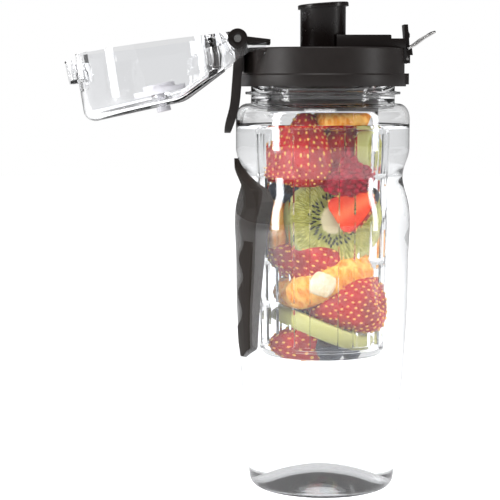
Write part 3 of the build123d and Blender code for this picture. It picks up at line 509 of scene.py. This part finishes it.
# Orange: juice sacs between pale skins, and white pith where the peel was
orange_flesh, tree, surface, group = flesh_material("orange", (0.86, 0.3, 0.012), (0.72, 0.2, 0.006), 260.0, 700.0, 0.14, 0.0004)
sacs = tree.nodes.new("ShaderNodeTexVoronoi")
sacs.inputs["Scale"].default_value = 420.0
stretch = tree.nodes.new("ShaderNodeMapping")
stretch.inputs["Scale"].default_value = (1.0, 1.0, 0.35)
tree.links.new(own(tree, "own_place").outputs["Vector"], stretch.inputs["Vector"])
tree.links.new(stretch.outputs["Vector"], sacs.inputs["Vector"])
sac = mixed(tree, stepped(tree, sacs.outputs["Distance"], 0.3, 0.75), group.outputs["Colour"], (0.93, 0.5, 0.1))
pith = mixed(tree, stepped(tree, own(tree, "from_middle").outputs["Fac"], 0.84, 0.93), sac, (0.84, 0.74, 0.52))
tree.links.new(pith, surface.inputs["Base Color"])
pith_white = flesh_material("orange pith", (0.86, 0.78, 0.6), (0.78, 0.62, 0.36), 260.0, 800.0, 0.4, 0.0006)[0]

# One tree sets seeds or drupelets in a skin, where the skin says so, lying along its own direction
setter = bpy.data.node_groups.new("set in a skin", "GeometryNodeTree")
setter.interface.new_socket("Geometry", in_out="INPUT", socket_type="NodeSocketGeometry")
for label, value in (("Spacing", 0.0024), ("Length", 0.0016), ("Width", 0.0009), ("Depth", 0.0006)):
    setter.interface.new_socket(label, in_out="INPUT", socket_type="NodeSocketFloat").default_value = value
for label, value in (("Sides", 8), ("Seed", 1)):
    setter.interface.new_socket(label, in_out="INPUT", socket_type="NodeSocketInt").default_value = value
setter.interface.new_socket("Finish", in_out="INPUT", socket_type="NodeSocketMaterial")
setter.interface.new_socket("Geometry", in_out="OUTPUT", socket_type="NodeSocketGeometry")
given, out = setter.nodes.new("NodeGroupInput"), setter.nodes.new("NodeGroupOutput")
link = setter.links.new
scatter = setter.nodes.new("GeometryNodeDistributePointsOnFaces")
scatter.distribute_method = "POISSON"
scatter.inputs["Density Max"].default_value = 900000.0
stored = setter.nodes.new("GeometryNodeInputNamedAttribute")
stored.data_type = "FLOAT"
stored.inputs["Name"].default_value = "seeded"
link(given.outputs["Geometry"], scatter.inputs["Mesh"])
link(given.outputs["Spacing"], scatter.inputs["Distance Min"])
link(given.outputs["Seed"], scatter.inputs["Seed"])
link(stored.outputs["Attribute"], scatter.inputs["Density Factor"])
bead = setter.nodes.new("GeometryNodeMeshUVSphere")
bead.inputs["Radius"].default_value = 0.5
link(given.outputs["Sides"], bead.inputs["Segments"])
link(given.outputs["Sides"], bead.inputs["Rings"])
size = setter.nodes.new("ShaderNodeCombineXYZ")
for axis, label in (("X", "Length"), ("Y", "Width"), ("Z", "Depth")):
    link(given.outputs[label], size.inputs[axis])
upright = setter.nodes.new("FunctionNodeAlignRotationToVector")
upright.axis = "Z"
link(scatter.outputs["Normal"], upright.inputs["Vector"])
lying = setter.nodes.new("GeometryNodeInputNamedAttribute")
lying.data_type = "FLOAT_VECTOR"
lying.inputs["Name"].default_value = "lie"
along = setter.nodes.new("FunctionNodeAlignRotationToVector")
along.axis = "X"
along.pivot_axis = "Z"
link(upright.outputs["Rotation"], along.inputs["Rotation"])
link(lying.outputs["Attribute"], along.inputs["Vector"])
put = setter.nodes.new("GeometryNodeInstanceOnPoints")
link(scatter.outputs["Points"], put.inputs["Points"])
link(bead.outputs["Mesh"], put.inputs["Instance"])
link(along.outputs["Rotation"], put.inputs["Rotation"])
link(size.outputs["Vector"], put.inputs["Scale"])
real = setter.nodes.new("GeometryNodeRealizeInstances")
link(put.outputs["Instances"], real.inputs["Geometry"])
smooth = setter.nodes.new("GeometryNodeSetShadeSmooth")
link(real.outputs["Geometry"], smooth.inputs["Geometry"])
finish = setter.nodes.new("GeometryNodeSetMaterial")
link(smooth.outputs["Geometry"], finish.inputs["Geometry"])
link(given.outputs["Finish"], finish.inputs["Material"])
both = setter.nodes.new("GeometryNodeJoinGeometry")
link(finish.outputs["Geometry"], both.inputs["Geometry"])
link(given.outputs["Geometry"], both.inputs["Geometry"])
link(both.outputs["Geometry"], out.inputs["Geometry"])


def set_in_skin(piece, material, seed, spacing, length, width, depth, sides=8):
    """Sets seeds or drupelets in a fruit's skin, and makes the result a plain mesh."""
    modifier = piece.modifiers.new("seeds", "NODES")
    modifier.node_group = setter
    sockets = {s.name: s.identifier for s in setter.interface.items_tree if s.in_out == "INPUT"}
    for label, value in (
        ("Spacing", spacing), ("Length", length), ("Width", width), ("Depth", depth),
        ("Sides", sides), ("Seed", seed), ("Finish", material),
    ):
        modifier[sockets[label]] = value
    shown = bpy.data.meshes.new_from_object(piece.evaluated_get(bpy.context.evaluated_depsgraph_get()))
    piece.modifiers.clear()
    piece.data = shown
    return piece


def store(mesh, name, kind, values):
    """Stores a value or a direction at each point of a mesh."""
    stored = mesh.attributes.new(name, kind, "POINT")
    stored.data.foreach_set("vector" if kind == "FLOAT_VECTOR" else "value", np.asarray(values, np.float32).ravel())


def fruit(name, rings, place, turn, material, cut, from_middle, seeded, lie, turned=None):
    """A closed fruit skin from rings of its own points, turned and put in its place in the basket."""
    spin = Matrix.Rotation(math.radians(turn[2]), 3, "Z") @ Matrix.Rotation(math.radians(turn[1]), 3, "Y") @ Matrix.Rotation(math.radians(turn[0]), 3, "X")
    spin = np.array(spin)
    flat = rings.reshape(-1, 3)
    world = flat @ spin.T + np.array(place)
    mesh = bpy.data.meshes.new(name)
    count, columns = rings.shape[:2]
    grid = np.arange(count * columns).reshape(count, columns)
    faces = np.stack([grid[:-1], np.roll(grid[:-1], -1, 1), np.roll(grid[1:], -1, 1), grid[1:]], -1).reshape(-1, 4)
    mesh.from_pydata(world.tolist(), [], faces.tolist())
    store(mesh, "own_place", "FLOAT_VECTOR", flat)
    store(mesh, "cut", "FLOAT", cut)
    store(mesh, "from_middle", "FLOAT", from_middle)
    store(mesh, "seeded", "FLOAT", seeded)
    store(mesh, "lie", "FLOAT_VECTOR", np.asarray(lie) @ spin.T)
    store(mesh, "turn", "FLOAT", np.zeros(len(flat)) if turned is None else turned)
    work = bmesh.new()
    work.from_mesh(mesh)
    bmesh.ops.remove_doubles(work, verts=work.verts, dist=1e-6)
    bmesh.ops.recalc_face_normals(work, faces=work.faces)
    work.to_mesh(mesh)
    work.free()
    mesh.shade_smooth()
    mesh.materials.append(material)
    piece = bpy.data.objects.new(name, mesh)
    bpy.context.scene.collection.objects.link(piece)
    return piece


STRAWBERRY_LINE = smooth_line([(0, 0), (0.3, 0.05), (0.56, 0.2), (0.8, 0.42), (0.96, 0.66), (0.98, 0.82), (0.78, 0.95), (0.4, 0.97), (0, 0.93)], 40)


def strawberry(name, place, width, length, turn, seed, cut_at=None, cut_way=(0, -1, 0)):
    """A strawberry with its tip down before it is turned. cut_at slices it flat on one side."""
    r, a = np.meshgrid(STRAWBERRY_LINE[:, 0], np.linspace(0, 2 * math.pi, 64, endpoint=False), indexing="ij")
    h = np.repeat(STRAWBERRY_LINE[:, 1:], 64, 1)
    lump = 1 + 0.035 * np.sin(3 * a + seed) + 0.02 * np.sin(5 * a + 2 * seed + 4 * h) + 0.02 * np.sin(9 * h + seed)
    rings = np.stack([r * np.cos(a) * lump * width / 2, r * np.sin(a) * lump * width / 2, (h - 0.5) * length], -1)
    flat = rings.reshape(-1, 3)
    cut = np.zeros(len(flat))
    if cut_at is not None:
        way = np.array(cut_way, float) / np.linalg.norm(cut_way)
        over = flat @ way - cut_at
        cut = (over > 0).astype(float)
        flat = flat - np.maximum(over, 0)[:, None] * way
    away = np.linalg.norm(flat[:, :2], axis=1) / (width / 2)
    tip_down = np.tile([0.0, 0.0, -1.0], (len(flat), 1))
    edge_clear = 1 - np.clip(cut * 2, 0, 1)
    piece = fruit(name, flat.reshape(rings.shape), place, turn, strawberry_red, cut, away, edge_clear, tip_down)
    set_in_skin(piece, seed_gold, seed, 0.0029, 0.0017, 0.0011, 0.0011, 6)
    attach(piece, "basket")
    return piece


def raspberry(name, place, width, length, turn, seed):
    """A raspberry: drupelets packed over a blunt cone."""
    line = smooth_line([(0, 0), (0.55, 0.04), (0.86, 0.3), (0.98, 0.62), (0.86, 0.9), (0.4, 1.0), (0, 1.0)], 24)
    r, a = np.meshgrid(line[:, 0], np.linspace(0, 2 * math.pi, 40, endpoint=False), indexing="ij")
    h = np.repeat(line[:, 1:], 40, 1)
    rings = np.stack([r * np.cos(a) * (width / 2 - 0.0012), r * np.sin(a) * (width / 2 - 0.0012), (0.5 - h) * (length - 0.0024)], -1)
    flat = rings.reshape(-1, 3)
    ones = np.ones(len(flat))
    piece = fruit(name, rings, place, turn, raspberry_red, ones * 0, ones, ones, np.tile([0.0, 0.0, 1.0], (len(flat), 1)))
    set_in_skin(piece, raspberry_red, seed, 0.0029, 0.0036, 0.0036, 0.003, 12)
    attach(piece, "basket")
    return piece


def blueberry(name, place, radius, turn):
    """A blueberry with its crown on top before it is turned."""
    up, a = np.meshgrid(np.linspace(0, math.pi, 40), np.linspace(0, 2 * math.pi, 50, endpoint=False), indexing="ij")
    lobes = 0.5 + 0.5 * np.cos(5 * a)
    rim = np.exp(-(((up - 0.42) / 0.09) ** 2)) * (0.05 + 0.06 * lobes)
    crater = np.where(up < 0.42, -0.16 * (1 - (up / 0.42) ** 2), 0)
    r = radius * (1 + rim + crater)
    rings = np.stack([r * np.sin(up) * np.cos(a), r * np.sin(up) * np.sin(a), r * np.cos(up) * 0.93], -1)
    flat = rings.reshape(-1, 3)
    cut = (up < 0.5).astype(float).ravel()
    piece = fruit(name, rings, place, turn, blueberry_skin, cut, cut * 0, cut * 0, flat)
    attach(piece, "basket")
    return piece


def slab_line(rounding, rows):
    """Shares of a slab's radius and half thickness, from the middle of one face to that of the other."""
    line = [(x, 1.0) for x in np.linspace(0, 1 - rounding, rows)]
    line += [(1 - rounding + rounding * math.sin(t), math.cos(t)) for t in np.linspace(0, math.pi, 9)[1:-1]]
    line += [(x, -1.0) for x in np.linspace(1 - rounding, 0, rows)]
    return np.array(line)


def kiwi_slice(name, place, wide, tall, thickness, turn, seed):
    """A peeled slice of kiwi that faces -Y before it is turned."""
    line = slab_line(0.1, 30)
    r, a = np.meshgrid(line[:, 0], np.linspace(0, 2 * math.pi, 96, endpoint=False), indexing="ij")
    t = np.repeat(line[:, 1:], 96, 1)
    edge = 1 + 0.012 * np.sin(3 * a + seed) + 0.008 * np.sin(7 * a)
    dish = 0.04 * np.cos(r * 9) * (r < 0.6)
    rings = np.stack([r * edge * np.cos(a) * wide / 2, -(t * (1 + dish)) * thickness / 2, r * edge * np.sin(a) * tall / 2], -1)
    flat = rings.reshape(-1, 3)
    face = (np.abs(t) > 0.9).astype(float).ravel()
    ring = ((r > 0.3) & (r < 0.52)).astype(float).ravel() * face
    lie = np.stack([np.cos(a), a * 0, np.sin(a)], -1).reshape(-1, 3)
    wrapped = np.stack([np.cos(a), np.sin(a)], -1)
    piece = fruit(name, rings, place, turn, kiwi_flesh, face, r.ravel(), ring, lie, (a * 4.0).ravel())
    set_in_skin(piece, kiwi_seed, seed, 0.0014, 0.0021, 0.0009, 0.0008, 8)
    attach(piece, "basket")
    return piece


def orange_piece(name, place, wide, deep, tall, turn, seed, middle=(0.0, 0.0)):
    """A chunk of peeled orange, with rounded sides and swollen juice sacs."""
    line = slab_line(0.35, 14)
    r, a = np.meshgrid(line[:, 0], np.linspace(0, 2 * math.pi, 72, endpoint=False), indexing="ij")
    t = np.repeat(line[:, 1:], 72, 1)
    side = np.maximum(np.abs(np.cos(a)), np.abs(np.sin(a))) ** -0.45
    swell = 1 + 0.03 * np.sin(6 * a + seed) + 0.02 * np.sin(11 * a + 3 * t)
    rings = np.stack([
        r * side * swell * np.cos(a) * wide / 2,
        r * side * swell * np.sin(a) * deep / 2,
        t * (1 - 0.12 * r**2 + 0.04 * np.sin(8 * a) * r) * tall / 2,
    ], -1)
    flat = rings.reshape(-1, 3)
    away = np.hypot(flat[:, 0] / wide * 2 - middle[0], flat[:, 2] / tall * 2 - middle[1]) * 0.6
    piece = fruit(name, rings, place, turn, orange_flesh, r.ravel() * 0, away, r.ravel() * 0, flat)
    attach(piece, "basket")
    return piece


strawberry("strawberry_top", (-0.0085, -0.0078, 0.1755), 0.0305, 0.0395, (184, -4, 20), 3)
strawberry("strawberry_behind", (0.0075, 0.0005, 0.178), 0.028, 0.03, (170, 10, 0), 8)
raspberry("raspberry", (0.0105, -0.0108, 0.1635), 0.0228, 0.0268, (-8, 12, 0), 5)
orange_piece("orange_top", (0.009, -0.004, 0.1915), 0.028, 0.031, 0.01, (4, -4, 10), 1)
kiwi_slice("kiwi_side", (0.0172, -0.0095, 0.1765), 0.017, 0.019, 0.0062, (0, 0, 80), 4)
blueberry("blueberry_left", (-0.0168, -0.0098, 0.1535), 0.0066, (75, 10, 25))
blueberry("blueberry_left_behind", (-0.0115, -0.0085, 0.1552), 0.006, (40, 60, 0))
blueberry("blueberry_right", (0.0172, -0.0095, 0.1502), 0.0062, (30, 40, 0))
orange_piece("orange_between", (0.0002, -0.0055, 0.1555), 0.022, 0.014, 0.012, (0, 14, 0), 4)
kiwi_slice("kiwi_front", (0.0035, -0.0102, 0.1398), 0.0415, 0.0455, 0.006, (-3, 0, 10), 7)
strawberry("strawberry_cut", (0.0135, -0.0165, 0.146), 0.0175, 0.021, (0, -122, -14), 12, 0.002)
orange_piece("orange_left", (-0.0178, -0.0035, 0.138), 0.009, 0.02, 0.028, (0, 0, -10), 2)
strawberry("strawberry_middle", (-0.0088, -0.0072, 0.1195), 0.0265, 0.03, (0, 112, 10), 21)
orange_piece("orange_slice", (0.0005, -0.0085, 0.109), 0.0425, 0.024, 0.017, (8, -24, 0), 3)
orange_piece("orange_pith", (-0.0005, -0.0185, 0.1085), 0.0115, 0.006, 0.012, (0, 20, 0), 5).data.materials[0] = pith_white
strawberry("strawberry_right", (0.0098, -0.0092, 0.0968), 0.03, 0.031, (0, 78, -8), 33)
kiwi_slice("kiwi_low", (0.0, -0.002, 0.0848), 0.0425, 0.042, 0.0085, (90, 25, 0), 9)
strawberry("strawberry_low", (-0.0108, -0.0085, 0.0782), 0.0205, 0.025, (0, 82, 12), 41)
blueberry("blueberry_low", (0.0028, -0.0128, 0.0776), 0.0074, (60, -30, 0))
blueberry("blueberry_low_right", (0.0108, -0.0085, 0.0762), 0.0054, (20, 70, 0))
strawberry("strawberry_back", (-0.002, 0.0105, 0.152), 0.026, 0.03, (0, 40, 40), 51)
orange_piece("orange_back", (0.004, 0.0095, 0.125), 0.028, 0.02, 0.026, (10, 20, 30), 6)
strawberry("strawberry_back_low", (0.001, 0.0105, 0.101), 0.026, 0.029, (0, 140, 20), 61)
raspberry("raspberry_back", (0.003, 0.0095, 0.0805), 0.018, 0.017, (0, 80, 0), 15)

# Studio: pale floor, white surroundings, a broad lamp from the upper left and a fill from the right
floor_mesh = bpy.data.meshes.new("floor")
floor_mesh.from_pydata([(-3, -3, -0.0002), (3, -3, -0.0002), (3, 3, -0.0002), (-3, 3, -0.0002)], [], [(0, 1, 2, 3)])
floor = bpy.data.objects.new("floor", floor_mesh)
bpy.context.scene.collection.objects.link(floor)
pale = bpy.data.materials.new("pale floor")
pale.use_nodes = True
tree = pale.node_tree
tree.nodes["Principled BSDF"].inputs["Base Color"].default_value = (0.92, 0.92, 0.93, 1)
tree.nodes["Principled BSDF"].inputs["Roughness"].default_value = 0.8
tree.nodes["Principled BSDF"].inputs["Emission Color"].default_value = (1, 1, 1, 1)
rays = tree.nodes.new("ShaderNodeLightPath")
lift = sum_of(tree, "MULTIPLY", sum_of(tree, "ADD", rays.outputs["Is Camera Ray"], rays.outputs["Is Transmission Ray"], True), 0.85)
tree.links.new(lift, tree.nodes["Principled BSDF"].inputs["Emission Strength"])
floor_mesh.materials.append(pale)

world = bpy.data.worlds.new("white room")
bpy.context.scene.world = world
world.use_nodes = True
tree = world.node_tree
rays = tree.nodes.new("ShaderNodeLightPath")
seen = sum_of(tree, "ADD", rays.outputs["Is Camera Ray"], rays.outputs["Is Transmission Ray"], True)
level = sum_of(tree, "ADD", sum_of(tree, "MULTIPLY", seen, 0.6), 0.4)
level = sum_of(tree, "SUBTRACT", level, sum_of(tree, "MULTIPLY", rays.outputs["Is Glossy Ray"], 0.22), True)
tree.nodes["Background"].inputs["Color"].default_value = (1, 1, 1, 1)
tree.links.new(level, tree.nodes["Background"].inputs["Strength"])

for name, place, aim, wide, tall, power in (
    ("left strip lamp", (-1.15, -0.52, 0.42), (0, 0, 0.13), 0.24, 1.2, 12.0),
    ("right strip lamp", (1.2, -0.42, 0.36), (0, 0, 0.13), 0.16, 1.2, 7.0),
    ("top lamp", (-0.1, -0.75, 1.7), (0, 0, 0.12), 0.9, 0.6, 14.0),
):
    data = bpy.data.lights.new(name, "AREA")
    data.shape = "RECTANGLE"
    data.size = wide
    data.size_y = tall
    data.energy = power
    lamp = bpy.data.objects.new(name, data)
    lamp.location = place
    lamp.rotation_euler = (Vector(aim) - Vector(place)).to_track_quat("-Z", "Y").to_euler()
    bpy.context.scene.collection.objects.link(lamp)

camera_data = bpy.data.cameras.new("camera")
camera_data.lens = 117.9
camera = bpy.data.objects.new("camera", camera_data)
camera.location = (-0.0374, -0.8459, 0.2071)
camera.rotation_euler = (math.radians(90 - 5.65), 0, 0)
bpy.context.scene.collection.objects.link(camera)
bpy.context.scene.camera = camera
bpy.context.scene.view_settings.view_transform = "Standard"
